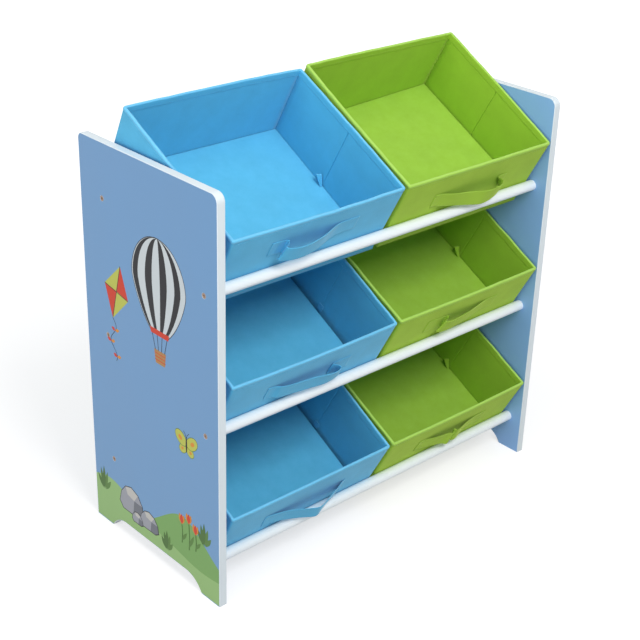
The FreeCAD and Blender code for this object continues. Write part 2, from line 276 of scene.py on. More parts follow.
def new_group(name, more_inputs, outputs):
    """A node group that takes a place, a colour, and more inputs with their defaults."""
    group = bpy.data.node_groups.new(name, "ShaderNodeTree")
    sockets = group.interface
    sockets.new_socket("Place", in_out="INPUT", socket_type="NodeSocketVector")
    for word, default in {"Color": GREY, **more_inputs}.items():
        kind = "Color" if isinstance(default, tuple) else "Float"
        socket = sockets.new_socket(word, in_out="INPUT", socket_type=f"NodeSocket{kind}")
        socket.default_value = default
    for word in outputs:
        kind = "Color" if word == "Color" else "Float"
        sockets.new_socket(word, in_out="OUTPUT", socket_type=f"NodeSocket{kind}")
    came_in = group.nodes.new("NodeGroupInput")
    goes_out = group.nodes.new("NodeGroupOutput")
    return group, came_in.outputs, goes_out.inputs


def use_group(tree, group, links):
    """Place a group in a tree, with its inputs filled."""
    node = tree.nodes.new("ShaderNodeGroup")
    node.node_tree = group
    return plug(tree, node, links).outputs


def tinted(tree, colour, factor):
    """A colour made lighter or darker by a factor."""
    grey = shade(tree, "CombineColor", {0: factor, 1: factor, 2: factor}).outputs[0]
    return mix(tree, 1.0, colour, grey, blend_type="MULTIPLY")


# %% [markdown]
# The cloth isn't woven: its fibres are pressed together in slanting rows of small
# dimples. The height stands up between the dimples, with fibres over it. The colour
# is cloudy where more or fewer fibres lie, and darker in the dimples.

# %% Group: pressed cloth
cloth_group, given, gives = new_group(
    "Pressed Cloth",
    {"Dimple Scale": 700.0, "Dimple Depth": 0.5, "Mottle": 0.12, "Roughness": 0.75},
    ("Color", "Roughness", "Height"),
)
tree = cloth_group
slanted = shade(tree, "Mapping", {"Vector": given["Place"], "Rotation": (0, 0, math.radians(45))})
dots = shade(
    tree, "TexVoronoi",
    {"Vector": slanted.outputs[0], "Scale": given["Dimple Scale"], "Randomness": 0.08},
    voronoi_dimensions="2D",
)
dimple = ramp(tree, dots.outputs["Distance"], 0.12, 0.42)
fibres = speckle(tree, given["Place"], 1500.0, 4.0, 0.7)
clouds = speckle(tree, given["Place"], 30.0, 5.0, 0.62)
raised = math_node(tree, "MULTIPLY", dimple, given["Dimple Depth"])
height = math_node(tree, "MULTIPLY_ADD", fibres, 0.45, raised)
tree.links.new(height, gives["Height"])
swing = math_node(tree, "MULTIPLY_ADD", clouds, 2.0, -1.0)
cloudy = math_node(tree, "MULTIPLY_ADD", swing, given["Mottle"], 1.0)
fine = math_node(tree, "MULTIPLY_ADD", fibres, 0.16, 0.9)
pressed = math_node(tree, "MULTIPLY_ADD", dimple, 0.07, 0.94)
factor = math_node(tree, "MULTIPLY", math_node(tree, "MULTIPLY", cloudy, fine), pressed)
tree.links.new(tinted(tree, given["Color"], factor), gives["Color"])
rough = math_node(tree, "MULTIPLY_ADD", fibres, 0.2, given["Roughness"])
tree.links.new(rough, gives["Roughness"])
print("made:", cloth_group.name)

# %% Group: sprayed paint
paint_group, given, gives = new_group(
    "Sprayed Paint",
    {"Peel Scale": 420.0, "Roughness": 0.35, "Smudge": 0.12},
    ("Color", "Roughness", "Height"),
)
tree = paint_group
tree.links.new(speckle(tree, given["Place"], given["Peel Scale"], 2.0), gives["Height"])
patches = speckle(tree, given["Place"], 9.0, 4.0, 0.6)
lighter = math_node(tree, "MULTIPLY_ADD", patches, 0.07, 0.965)
tree.links.new(tinted(tree, given["Color"], lighter), gives["Color"])
smudged = math_node(tree, "MULTIPLY_ADD", patches, given["Smudge"], given["Roughness"])
tree.links.new(smudged, gives["Roughness"])
print("made:", paint_group.name)

# %% Group: painted sheen on what faces up
# Painted sheen: a pale grey mixed in specks into whatever faces up, as light from above would whiten
# it.
SHEEN_VEIL_GREY = (0.72, 0.72, 0.72, 1)
sheen_veil_group, given, gives = new_group(
    "Painted Sheen Veil", {"Veil Color": SHEEN_VEIL_GREY, "Amount": 0.06}, ("Color",)
)
tree = sheen_veil_group
facing = shade(tree, "SeparateXYZ", {0: shade(tree, "NewGeometry").outputs["Normal"]})
upward = ramp(tree, facing.outputs["Z"], 0.35, 0.95)
specks = speckle(tree, given["Place"], 60.0, 8.0, 0.75)
lies = math_node(tree, "MULTIPLY", upward, specks)
mask = math_node(tree, "MULTIPLY", lies, given["Amount"], clamp=True)
tree.links.new(mix(tree, mask, given["Color"], given["Veil Color"]), gives["Color"])
print("groups:", [group.name for group in bpy.data.node_groups])

# %% [markdown]
# ## Materials
# Colours are written as they look on a screen, and turned into the linear values
# that the shader needs. Cloth has no gloss but a soft sheen at its edges. It is
# mapped by the cloth's own UVs, in metres, so the dimples follow each panel.

# %% Cloth materials
def linear(*screen):
    """A screen colour, 0 to 255, as linear light with alpha."""
    parts = [part / 255 for part in screen]
    return tuple(
        part / 12.92 if part <= 0.04045 else ((part + 0.055) / 1.055) ** 2.4 for part in parts
    ) + (1.0,)


def finish_surface(tree, out, colour, roughness, height, bump, **constants):
    """A Principled shader with a bump, and constants set on its own sockets."""
    shader = shade(tree, "BsdfPrincipled", {"Base Color": colour, "Roughness": roughness})
    for word, value in constants.items():
        shader.inputs[word.replace("_", " ")].default_value = value
    relief = shade(tree, "Bump", {"Height": height, "Strength": 1.0, "Distance": bump})
    tree.links.new(relief.outputs[0], shader.inputs["Normal"])
    tree.links.new(shader.outputs[0], out.inputs["Surface"])


NAMES = {"left": "blue", "right": "green"}
SHEEN_TINTS = {"left": linear(255, 255, 255), "right": linear(255, 255, 150)}


def cloth_material(kind, side, colour, mottle=0.13, dimple_depth=0.5):
    """Pressed cloth for one column of bins, with a little painted sheen on what faces up."""
    material, out = new_material(f"{NAMES[side]}_{kind}_cloth")
    tree = material.node_tree
    place = shade(tree, "UVMap", uv_map="cloth").outputs[0]
    cloth = use_group(
        tree, cloth_group,
        {"Place": place, "Color": colour, "Mottle": mottle, "Dimple Depth": dimple_depth,
         "Roughness": 0.75},
    )
    # painted sheen: a pale veil on what faces up
    sheen_veil = use_group(tree, sheen_veil_group, {"Place": place, "Color": cloth["Color"], "Amount": 0.07})
    finish_surface(
        tree, out, sheen_veil["Color"], cloth["Roughness"], cloth["Height"], 0.09 * MM,
        Sheen_Weight=0.25, Sheen_Roughness=0.45, Sheen_Tint=SHEEN_TINTS[side],
        Specular_IOR_Level=0.2,
    )
    return material


SHELL_COLOURS = {"left": linear(90, 188, 230), "right": linear(163, 202, 67)}
LINING_COLOURS = {"left": linear(87, 189, 227), "right": linear(158, 201, 58)}
# lighter than the shell: partly the rim's own colour, partly a painted highlight along the top edge
RIM_COLOURS_WITH_HIGHLIGHT = {"left": linear(110, 196, 236), "right": linear(172, 214, 92)}

shell_cloth, lining_cloth, highlit_rim_cloth, strap_cloth = {}, {}, {}, {}
for side in COLUMNS:
    shell_cloth[side] = cloth_material("shell", side, SHELL_COLOURS[side])
    lining_cloth[side] = cloth_material("lining", side, LINING_COLOURS[side])
    highlit_rim_cloth[side] = cloth_material("rim", side, RIM_COLOURS_WITH_HIGHLIGHT[side], mottle=0.05)
    strap_cloth[side] = cloth_material(
        "strap", side, SHELL_COLOURS[side], mottle=0.05, dimple_depth=0.7
    )
print("cloth materials:", 4 * len(COLUMNS))

# %% [markdown]
# Thread, the card in the walls and the screws' metal each need one pattern, and it
# sets both the colour and the height: the twist of the thread, or plain specks.

# %% Thread, card and screw metal
def patterned_material(name, colour, pattern, low, high, roughness, bump, **constants):
    """A colour that swings from low to high times itself with a texture.

    pattern is the texture's kind, and its inputs.
    """
    material, out = new_material(name)
    tree = material.node_tree
    kind, inputs = pattern
    place = shade(tree, "TexCoord").outputs["Object"]
    value = shade(tree, kind, {"Vector": place, **inputs}).outputs["Fac"]
    factor = math_node(tree, "MULTIPLY_ADD", value, high - low, low)
    finish_surface(
        tree, out, tinted(tree, colour, factor), roughness, value, bump * MM, **constants
    )
    return material


twist = ("TexWave", {"Scale": 900.0, "Distortion": 1.5})
thread = {
    side: patterned_material(
        f"{NAMES[side]}_thread", SHELL_COLOURS[side], twist, 0.85, 1.05, 0.5, 0.05,
        Sheen_Weight=0.3,
    )
    for side in COLUMNS
}
specks = ("TexNoise", {"Scale": 700.0, "Detail": 6.0})
card = patterned_material("grey_card", linear(150, 146, 138), specks, 0.75, 1.25, 0.85, 0.1)
stains = ("TexNoise", {"Scale": 480.0, "Detail": 5.0})
screw_metal = patterned_material(
    "bronzed_steel", linear(158, 138, 122), stains, 0.7, 1.3, 0.42, 0.04, Metallic=0.85
)
print("materials:", len(bpy.data.materials))

# %% [markdown]
# The boards are blue on both faces and white round the edge. The edge has the
# rods' white paint, painted darker: a painted shade where the flat edges face the
# front lamp. The inner face is a lighter blue than the outer one, which carries
# the print: partly its own paint, partly painted light for the lamp light that
# the inner face lacks. One material does all three. Where the surface points
# along X it is a face, else it is the edge. On an outer face the place and the
# direction along X have the same sign.

# %% Board and rod paint
def paint_faces(tree, where, edge, inner, outer):
    """Edge paint, with other colours on the inner and the outer broad face."""
    side = shade(tree, "SeparateXYZ", {0: where.outputs["Normal"]}).outputs["X"]
    place = shade(tree, "SeparateXYZ", {0: where.outputs["Object"]}).outputs["X"]
    flat = math_node(tree, "GREATER_THAN", math_node(tree, "ABSOLUTE", side), 0.9)
    outward = math_node(tree, "GREATER_THAN", math_node(tree, "MULTIPLY", side, place), 0.0)
    return mix(tree, flat, edge, mix(tree, outward, inner, outer))


def paint_material(name, colour, roughness=0.32, faces=None, gloss=0.5):
    """White or coloured paint. faces are the paints of an inner and an outer face."""
    material, out = new_material(name)
    tree = material.node_tree
    where = shade(tree, "TexCoord")
    place = where.outputs["Object"]
    paint = paint_faces(tree, where, colour, *faces) if faces else colour
    coat = use_group(tree, paint_group, {"Place": place, "Color": paint, "Roughness": roughness})
    # painted sheen: a pale veil on what faces up
    sheen_veil = use_group(tree, sheen_veil_group, {"Place": place, "Color": coat["Color"], "Amount": 0.05})
    finish_surface(
        tree, out, sheen_veil["Color"], coat["Roughness"], coat["Height"], 0.03 * MM,
        Coat_Weight=0.2 * gloss, Coat_Roughness=0.2, Specular_IOR_Level=gloss,
    )
    return material


# the rods' white, painted darker on the boards' edges: painted shade where they face the front lamp
SHADED_EDGE_WHITE = linear(220, 227, 231)
ROD_WHITE = linear(241, 245, 247)
# inner face, then outer: the inner blue is lighter, partly its own paint, partly painted light
BOARD_BLUES_INNER_LIGHTENED = (linear(140, 184, 240), linear(103, 149, 194))
PAINTS = {
    "panel": paint_material("board_paint", SHADED_EDGE_WHITE, faces=BOARD_BLUES_INNER_LIGHTENED),
    "rod": paint_material("rod_paint", ROD_WHITE, roughness=0.28),
}
painted = [node for node in frame["nodes"] if node.split("_")[-1] in PAINTS]
for node in painted:
    materials = frame["nodes"][node].data.materials
    materials.clear()
    materials.append(PAINTS[node.split("_")[-1]])
print("painted:", painted)

# %% [markdown]
# ## Meshes from rows of points
# Sewn cloth is easiest to draw as rows of points: a profile that is carried round
# the bin, or two edges with a ribbon between them. One helper turns such a grid
# of points into a mesh and lays the cloth's UVs, in metres, over it.

# %% Helper that makes a piece
def mend_faces(mesh, join=0.0):
    """Join points that are closer than a distance, and turn all faces outwards."""
    shaped = bmesh.new()
    shaped.from_mesh(mesh)
    if join:
        bmesh.ops.remove_doubles(shaped, verts=shaped.verts, dist=join)
    bmesh.ops.recalc_face_normals(shaped, faces=shaped.faces)
    shaped.to_mesh(mesh)
    shaped.free()


def make_piece(name, places, faces, materials, slots, uvs=(), smooth=False, join=0.0):
    """A shown piece from points and faces; slots gives each face its material."""
    mesh = bpy.data.meshes.new(name)
    mesh.from_pydata([tuple(place) for place in places], [], faces)
    if uvs:
        layer = mesh.uv_layers.new(name="cloth")
        layer.data.foreach_set("uv", np.array([uv for face in uvs for uv in face]).ravel())
    for material in materials:
        mesh.materials.append(material)
    mesh.polygons.foreach_set("material_index", slots)
    mesh.polygons.foreach_set("use_smooth", [smooth] * len(faces))
    mend_faces(mesh, join)
    return show(name, mesh)


def dress(piece, body, slot, *nodes):
    """The piece moves with a body and stands for nodes, whose solids it hides. slot is not used."""
    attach(piece, body)
    if nodes:
        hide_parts(*nodes)


# %% Helper that makes cloth from grids
def grid_faces(rows, columns, closed_rows, closed_columns):
    """Corner indices of the faces between neighbouring rows and columns."""
    faces = []
    for row in range(rows if closed_rows else rows - 1):
        after = (row + 1) % rows
        for column in range(columns if closed_columns else columns - 1):
            right = (column + 1) % columns
            faces.append(
                (row * columns + column, row * columns + right,
                 after * columns + right, after * columns + column)
            )
    return faces


def lengths_along(points, closed):
    """Running length at each point of a path; with closed, also at its end."""
    steps = np.linalg.norm(np.roll(points, -1, 0) - points, axis=1)
    if not closed:
        steps = steps[:-1]
    return np.concatenate([[0.0], np.cumsum(steps)])


class Cloth:
    """A mesh in the making: several grids, each with its own UVs and material."""

    def __init__(self, name, materials):
        self.name = name
        self.materials = materials
        self.places, self.faces, self.uvs, self.slots = [], [], [], []

    def grid(self, points, closed_rows=False, closed_columns=False, caps=False, slot=0):
        """Lay a grid of points; slot is one number, or one for each row."""
        points = np.asarray(points, float)
        rows, columns = points.shape[:2]
        start = len(self.places)
        self.places.extend(points.reshape(-1, 3))
        across = lengths_along(points[rows // 2], closed_columns)
        up = lengths_along(points[:, columns // 2], closed_rows)
        faces = grid_faces(rows, columns, closed_rows, closed_columns)
        width = columns if closed_columns else columns - 1
        for number, face in enumerate(faces):
            row, column = divmod(number, width)
            self.faces.append([start + corner for corner in face])
            self.uvs.append(
                [(across[column], up[row]), (across[column + 1], up[row]),
                 (across[column + 1], up[row + 1]), (across[column], up[row + 1])]
            )
            self.slots.append(slot if isinstance(slot, int) else slot[row])
        if caps:
            self.cap([start + row * columns for row in range(rows)], slot)
            self.cap([start + row * columns + columns - 1 for row in range(rows)], slot)

    def cap(self, ring, slot):
        """Close an open end with one face."""
        self.faces.append(ring)
        self.uvs.append([(self.places[i][1], self.places[i][2]) for i in ring])
        self.slots.append(slot)

    def add(self, places, faces, slot):
        """Add loose points and the faces between them."""
        start = len(self.places)
        self.places.extend(places)
        for face in faces:
            self.cap([start + corner for corner in face], slot)

    def make(self, space, smooth=True, join=0.0):
        """The finished piece, in a bin's space."""
        piece = make_piece(
            self.name, self.places, self.faces, self.materials, self.slots, self.uvs, smooth, join
        )
        piece.matrix_world = space
        return piece


# %% [markdown]
# ## The walls of a bin
# A wall is a sandwich: shell cloth, a stiff board, and lining cloth. The boards keep
# it crisp, but no sewn wall is flat. Three things soften it here: the whole wall
# leans out a little between its corners, most at the rim; each skin ripples by a
# few tenths of a millimetre; and the side walls fold in at the crease between
# their two boards. All of it leans outwards only, so that a floor board can rise.

# %% Stations round a bin
LONG_STEPS, SIDE_STEPS, CORNER_STEPS = 36, 26, 4
CREASE_ROOM = 0.05
CREASE_OFFSETS = (0.35, 0.8, 1.5, 2.6, 4.5, 8.0)
WALL_RUN = (WIDTH, DEPTH, WIDTH, DEPTH)
FRONT, RIGHT, REAR, LEFT = range(4)

long_shares = [step / LONG_STEPS for step in range(LONG_STEPS + 1)]
even_shares = [step / SIDE_STEPS for step in range(SIDE_STEPS + 1)]
crease_shares = [offset * MM / DEPTH for offset in CREASE_OFFSETS]
side_shares = sorted(
    [share for share in even_shares if abs(share - 0.5) > CREASE_ROOM] + [0.5]
    + [0.5 - share for share in crease_shares] + [0.5 + share for share in crease_shares]
)


def wall_angle(wall):
    """The way a wall faces, as an angle from X in the bin's floor plane."""
    return math.radians(90 * wall - 90)


def make_stations():
    """Each station is a wall number, a share along it and the way it faces.

    The last number is 1 in the middle of a corner, where a seam runs, else less.
    """
    stations = []
    for wall in range(4):
        facing = wall_angle(wall)
        shares = side_shares if wall % 2 else long_shares
        stations += [(wall, share, facing, 0.0) for share in shares]
        for step in range(1, CORNER_STEPS):
            turned = step / CORNER_STEPS
            near_seam = 1 - abs(2 * turned - 1)
            stations.append((wall, 1.0, facing + math.radians(90) * turned, near_seam))
    return stations


STATIONS = make_stations()
print("stations round a bin:", len(STATIONS))


# %% How a wall leans and ripples
# by wall number: the height where the lean begins, and where it would be full. The
# rods keep the front wall straight up to 58 mm.
LEAN_BEGINS = (58 * MM, 6 * MM, 8 * MM, 6 * MM)
LEAN_IS_FULL = (HEIGHT, 1.05 * HEIGHT, HEIGHT, 1.05 * HEIGHT)
SIDE_BOW = 1.15
REAR_SKEW = 0.35
FOLD_RUN_IN = 30 * MM
CREASE_WIDTH = 0.5 * MM
SKIN_WAVE = 42 * MM
RIM_WAVE = 30 * MM
OUTER_RADIUS = 3.2 * MM
LEAST_RADIUS = 0.7 * MM


def smooth_step(value, low, high):
    share = min(max((value - low) / (high - low), 0.0), 1.0)
    return share * share * (3 - 2 * share)


def calm(share, steepness):
    """1 along a wall, falling to 0 at its corners."""
    return min(1.0, steepness * share, steepness * (1 - share))


def lean(habit, wall, share, height):
    """How far a wall leans out at a place. habit is the bin's own character."""
    if wall % 2:
        bow = 1 - abs(2 * share - 1) ** SIDE_BOW
    else:
        bow = math.sin(math.pi * share)
    if wall == REAR:
        bow *= 1 + REAR_SKEW * math.sin(2 * math.pi * share + habit["seed"])
    return habit["lean"][wall] * smooth_step(height, LEAN_BEGINS[wall], LEAN_IS_FULL[wall]) * bow


def ripple(habit, wall, share, height, layer):
    """A skin's own unevenness, from 0 to 1, calm near the corners."""
    run = share * WALL_RUN[wall]
    own = habit["seed"] * 7 + wall * 3 + layer
    place = Vector((run / SKIN_WAVE, height / SKIN_WAVE * 0.8, own))
    return calm(share, 9) * (0.5 + 0.5 * noise.noise(place)) ** 1.3


def crease(wall, share):
    """1 in the fold of a side wall, falling to 0 within a few millimetres."""
    if wall % 2 == 0:
        return 0.0
    return math.exp(-((share - 0.5) * DEPTH / CREASE_WIDTH) ** 2)


def wave_at(habit, wall, share):
    """How the rim goes up and down along a wall, from -1 to 1."""
    run = share * WALL_RUN[wall] / RIM_WAVE
    return calm(share, 12) * noise.noise(Vector((run, habit["seed"], wall * 5.0)))


def outwards(angle):
    """A step of length one in a direction in the bin's floor plane."""
    return Vector((math.cos(angle), math.sin(angle)))


def on_wall(wall, share, inset):
    """A place on the line between a wall's two corners, moved in by an inset."""
    right, rear = WIDTH - inset, DEPTH - inset
    corners = [(inset, inset), (right, inset), (right, rear), (inset, rear)]
    return Vector(corners[wall]).lerp(Vector(corners[(wall + 1) % 4]), share)


def round_the_bin(habit, profile, layer=0, skin=0.0, fold=0.0, wave=0.0, seam=0.0):
    """Carry a profile of (inset, height, skin share) round the bin.

    skin is the depth of the ripples, fold that of the crease, wave that of the rim's
    ups and downs, and seam how far the seams in the corners stand out.
    """
    rows = []
    for inset, height, share_of_skin in profile:
        radius = max(OUTER_RADIUS - inset, LEAST_RADIUS)
        row = []
        for wall, share, facing, near_seam in STATIONS:
            out = outwards(facing)
            place = on_wall(wall, share, inset + radius) + out * radius
            push = lean(habit, wall, share, height)
            push += skin * share_of_skin * ripple(habit, wall, share, height, layer)
            push += fold * habit["fold"] * crease(wall, share) * min(1.0, height / FOLD_RUN_IN)
            push += seam * near_seam
            place += out * push
            lift = wave * wave_at(habit, wall, share)
            row.append((place.x, place.y, height + lift))
        rows.append(row)
    return rows


# %% [markdown]
# A stitch is a short piece of thread that dips into the cloth at both ends. Here it
# is a small bead with four sides, and a seam is a row of them along a path. Seams run
# under the rim, inside and out, and along and across the straps.

# %% Stitches
STITCH = 3.2 * MM
STITCH_PITCH = 4.4 * MM
THREAD = 0.32 * MM
SEAM_HEIGHT = 113.4 * MM
STITCH_DIP, STITCH_SHOULDER = 0.8, 0.3
THREAD_SLOT = 1
# corner 0 is one tip, 1 to 4 and 5 to 8 are rings round the thread, 9 is the other tip
BEAD_SIDES = [(1, 2), (2, 3), (3, 4), (4, 1)]
STITCH_FACES = [(0, a, b) for a, b in BEAD_SIDES]
STITCH_FACES += [(a, a + 4, b + 4, b) for a, b in BEAD_SIDES]
STITCH_FACES += [(9, b + 4, a + 4) for a, b in BEAD_SIDES]


def sew(cloth, path, outs, pitch=STITCH_PITCH, length=STITCH):
    """Lay short thread stitches along a path; outs are the cloth's directions."""
    path = [Vector(point) for point in path]
    runs = lengths_along(np.array(path), False)
    count = int(runs[-1] / pitch)
    for number in range(count):
        middle = (number + 0.5) * runs[-1] / count
        spot = max(int(np.searchsorted(runs, middle)) - 1, 0)
        span = runs[spot + 1] - runs[spot]
        if span < 1e-9:
            continue
        centre = path[spot].lerp(path[spot + 1], (middle - runs[spot]) / span)
        along = (path[spot + 1] - path[spot]).normalized()
        out = Vector(outs[spot]).normalized()
        across = along.cross(out)
        dip = out * THREAD * STITCH_DIP
        places = [centre - along * length / 2 - dip]
        for share in (-STITCH_SHOULDER, STITCH_SHOULDER):
            ring = centre + along * length * share
            places += [
                ring + out * THREAD, ring + across * THREAD,
                ring - out * THREAD, ring - across * THREAD,
            ]
        places.append(centre + along * length / 2 - dip)
        cloth.add(places, STITCH_FACES, THREAD_SLOT)


def seam_round(cloth, habit, inset, way):
    """A line of stitches along each wall under the rim; way is 1 outside, -1 inside."""
    for wall in range(4):
        shares = {share for number, share, *_ in STATIONS if number == wall and 0 < share < 1}
        out = outwards(wall_angle(wall))
        path = []
        for share in sorted(shares):
            place = on_wall(wall, share, inset) + out * lean(habit, wall, share, SEAM_HEIGHT)
            path.append((place.x, place.y, SEAM_HEIGHT))
        sew(cloth, path, [out.to_3d() * way] * len(path))


# %% [markdown]
# The shell and the lining are each one skin: up the side that shows, over the top
# edge and down the back. The rim is a strip of cloth that is turned over the walls'
# top edges. Outside and over its crown it is lighter than the shell: partly its
# own colour, partly a painted highlight where the top edge catches the light. Its
# deep lip inside has the lining's colour, and its crown waves a little.

# %% Shell, lining and rim
SKIN_THICKNESS = 0.7 * MM
SKIN_FOOT = BASE + 0.1 * MM
INNER_LIP = range(8, 13)  # the rim's points that lie in the lining's colour
WALL_HEIGHTS = [6, 12, 20, 30, 40, 50, 58, 66, 74, 82, 90, 97, 103, 108, 111.2, 113, 115, 117.5]


def skin_profile(face, back):
    """Up one side of a skin and down its back; (inset, height, skin share)."""
    up = [(face, SKIN_FOOT, 0.0)]
    up += [(face, height * MM, min(1.0, height / 30)) for height in WALL_HEIGHTS]
    return up + [(back, height, 0.0) for _, height, _ in reversed(up)]


def make_shell(name, column, habit, space):
    cloth = Cloth(f"{name}_shell", [shell_cloth[column], thread[column]])
    profile = skin_profile(0.0, SKIN_THICKNESS)
    rows = round_the_bin(habit, profile, skin=0.45 * MM, fold=-0.5 * MM)
    cloth.grid(rows, closed_rows=True, closed_columns=True)
    seam_round(cloth, habit, -0.25 * MM, 1)
    return cloth.make(space)


def make_lining(name, column, habit, space):
    cloth = Cloth(f"{name}_lining", [lining_cloth[column]])
    profile = skin_profile(LINING_INSET + SKIN_THICKNESS, LINING_INSET)
    rows = round_the_bin(habit, profile, layer=11, skin=0.3 * MM, fold=2 * MM, seam=1.3 * MM)
    cloth.grid(rows, closed_rows=True, closed_columns=True)
    return cloth.make(space)


def make_rim(name, column, habit, space):
    """The turned-over cloth: a short lip outside, the crown, a deep lip inside."""
    cloth = Cloth(f"{name}_rim", [highlit_rim_cloth[column], thread[column], lining_cloth[column]])
    inside = LINING_INSET + SKIN_THICKNESS
    deep = inside / MM
    profile = [
        (-0.05, 116.2), (-0.4, 116.6), (-0.5, 118.4), (-0.35, 119.9), (0.2, 120.9),
        (1.2, 121.3), (deep - 1.2, 121.3), (deep - 0.2, 120.9),
        (deep + 0.1, 119.9), (deep + 0.15, 117.0), (deep + 0.1, 113.5),
        (deep + 0.15, 111.0), (deep + 0.1, 110.6), (deep - 0.05, 110.9),
        (deep - 0.1, 114.0), (deep - 0.3, 118.6), (1.8, 120.0), (0.3, 118.4),
    ]
    profile = [(inset * MM, height * MM, 0.0) for inset, height in profile]
    rows = round_the_bin(habit, profile, wave=0.9 * MM)
    slots = [2 if number in INNER_LIP else 0 for number in range(len(rows))]
    cloth.grid(rows, closed_rows=True, closed_columns=True, slot=slots)
    seam_round(cloth, habit, inside, -1)
    return cloth.make(space)


# %% [markdown]
# ## Flat sewn pieces
# The bottom cloth and the loose floor board are slabs with soft edges. The edge is
# a half ellipse: rows of points crowd towards it, and the outermost row lies at
# half the height, where the top and the underside meet.

# %% Helper that makes a soft slab
def edge_crowded(low, high, radius, step):
    """Places from low to high, close together near both ends."""
    near = [0.0, 0.12, 0.3, 0.6, 1.0]
    count = max(int((high - low - 2 * radius) / step), 2)
    inner = np.linspace(low + radius, high - radius, count + 1)[1:-1]
    return np.array(
        [low + share * radius for share in near] + list(inner)
        + [high - share * radius for share in reversed(near)]
    )


def slab(cloth, low, high, radius, bulge, step):
    """A flat piece with soft edges between two corners. bulge(x, v) lifts it."""
    xs = edge_crowded(low.x, high.x, radius, step)
    vs = edge_crowded(low.y, high.y, radius, step)
    thick = (high.z - low.z) / 2
    middle = (high.z + low.z) / 2
    top, under = [], []
    for v in vs:
        upper, lower = [], []
        for x in xs:
            reach = min(x - low.x, high.x - x, v - low.y, high.y - v)
            part = min(max(reach, 0) / radius, 1.0)
            half_height = thick * math.sqrt(max(1 - (1 - part) ** 2, 0))
            lift = bulge(x, v) * part
            upper.append((x, v, middle + half_height + lift))
            lower.append((x, v, middle - half_height))
        top.append(upper)
        under.append(lower)
    cloth.grid(top)
    cloth.grid(under)


# %% [markdown]
# The floor board lies loose in its bin. Each one lies as it fell, up to 21 mm high at
# its right edge, so it is drawn flat and then tilted about its left and front edge.

# %% Bottom cloth and floor board
FLOOR_SPARE = 0.4 * MM  # how far the floor's own cloth stands out past its board
WELD = 0.01 * MM
# how high a floor board rides at its right edge and at its rear edge, and how far its
# right edge stays off the wall, in mm
FLOOR_RIDES = {
    "top_left_bin": (1, 4, 0), "top_right_bin": (21, 2, 0), "middle_left_bin": (9, 1, 5),
    "middle_right_bin": (16, 1, 0), "bottom_left_bin": (8, 1, 4), "bottom_right_bin": (10, 0, 0),
}


def floor_tilt(name, low, high):
    """A turn about the board's left and front edge."""
    right_rise, rear_rise = (rise * MM for rise in FLOOR_RIDES[name][:2])
    roll = Matrix.Rotation(-math.asin(right_rise / (high.x - low.x)), 4, "Y")
    pitch = Matrix.Rotation(math.asin(rear_rise / (high.y - low.y)), 4, "X")
    hinge = Matrix.Translation(low)
    return hinge @ roll @ pitch @ hinge.inverted()


def make_bottom(name, column, habit, space):
    low, high = corners_in(f"{name}_base", space)
    cloth = Cloth(f"{name}_bottom", [shell_cloth[column]])
    slab(cloth, low, high, 1.2 * MM, lambda x, v: 0.0, 9 * MM)
    return cloth.make(space, join=WELD)


def make_floor_cloth(name, column, habit, space):
    low, high = corners_in(f"{name}_floor_board", space)
    tilt = floor_tilt(name, low, high)
    spare = Vector((FLOOR_SPARE, FLOOR_SPARE, 0))
    short = Vector((FLOOR_RIDES[name][2] * MM, 0, 0))
    low, high = low - spare, high + spare - short
    cloth = Cloth(f"{name}_floor_cloth", [lining_cloth[column]])

    def bulge(x, v):
        place = Vector((x * 14, v * 14, habit["seed"] * 3 + 40))
        return 0.45 * MM * noise.noise(place) + 0.15 * MM * noise.noise(place * 4)

    slab(cloth, low, high, 0.8 * MM, bulge, 6 * MM)
    return cloth.make(space @ tilt, join=WELD)


# %% Wall boards
BOARD_MARGIN = 3.2 * MM
HALF_FOLD_GAP = 0.75 * MM


def make_boards(name, column, habit, space):
    """Six thin plates inside the walls; the side ones are in two halves."""
    cloth = Cloth(f"{name}_stiffeners", [card])
    face, back = 0.9 * MM, LINING_INSET - 0.1 * MM
    gap = HALF_FOLD_GAP / DEPTH
    heights = np.linspace(BASE + 0.2 * MM, HEM - 0.2 * MM, 8)
    halves = [(0.0, 0.5 - gap), (0.5 + gap, 1.0)]
    for wall in (FRONT, REAR, RIGHT, LEFT):
        margin = BOARD_MARGIN / WALL_RUN[wall]
        out = outwards(wall_angle(wall))
        for start, end in halves if wall % 2 else [(0.0, 1.0)]:
            columns = []
            for share in np.linspace(max(start, margin), min(end, 1 - margin), 10):
                place = on_wall(wall, share, 0.0)
                ring = []
                for inset, run in ((face, heights), (back, heights[::-1])):
                    for height in run:
                        spot = place + out * (lean(habit, wall, share, height) - inset)
                        ring.append((spot.x, spot.y, height))
                columns.append(ring)
            cloth.grid(np.array(columns).transpose(1, 0, 2), closed_rows=True, caps=True)
    return cloth.make(space, smooth=False)


print("boards reach up to", round((HEM - 0.2 * MM) / MM, 1), "mm")

# %% [markdown]
# ## Ribbons: the carrying straps and the floor tabs
# A strap is a folded ribbon, sewn to the front wall at both ends. Between them it
# is too long for its span, so it stands off and droops, and no two do it alike.
# Two edge lines describe it, the upper and the lower, through a few points each.
# A smooth curve runs through the points, and a rounded section joins the edges.

# %% Helper that makes a ribbon
CURVE_STEPS = 24


def smooth_curve(points):
    """A Catmull-Rom curve through points, with equal steps between each two."""
    points = np.array(points, float)
    padded = np.vstack([2 * points[0] - points[1], points, 2 * points[-1] - points[-2]])
    fine = []
    for start in range(len(points) - 1):
        p0, p1, p2, p3 = padded[start:start + 4]
        for t in np.linspace(0, 1, CURVE_STEPS, endpoint=False):
            fine.append(
                0.5 * (2 * p1 + (p2 - p0) * t + (2 * p0 - 5 * p1 + 4 * p2 - p3) * t ** 2
                       + (3 * p1 - p0 - 3 * p2 + p3) * t ** 3)
            )
    fine.append(points[-1])
    return np.array(fine)


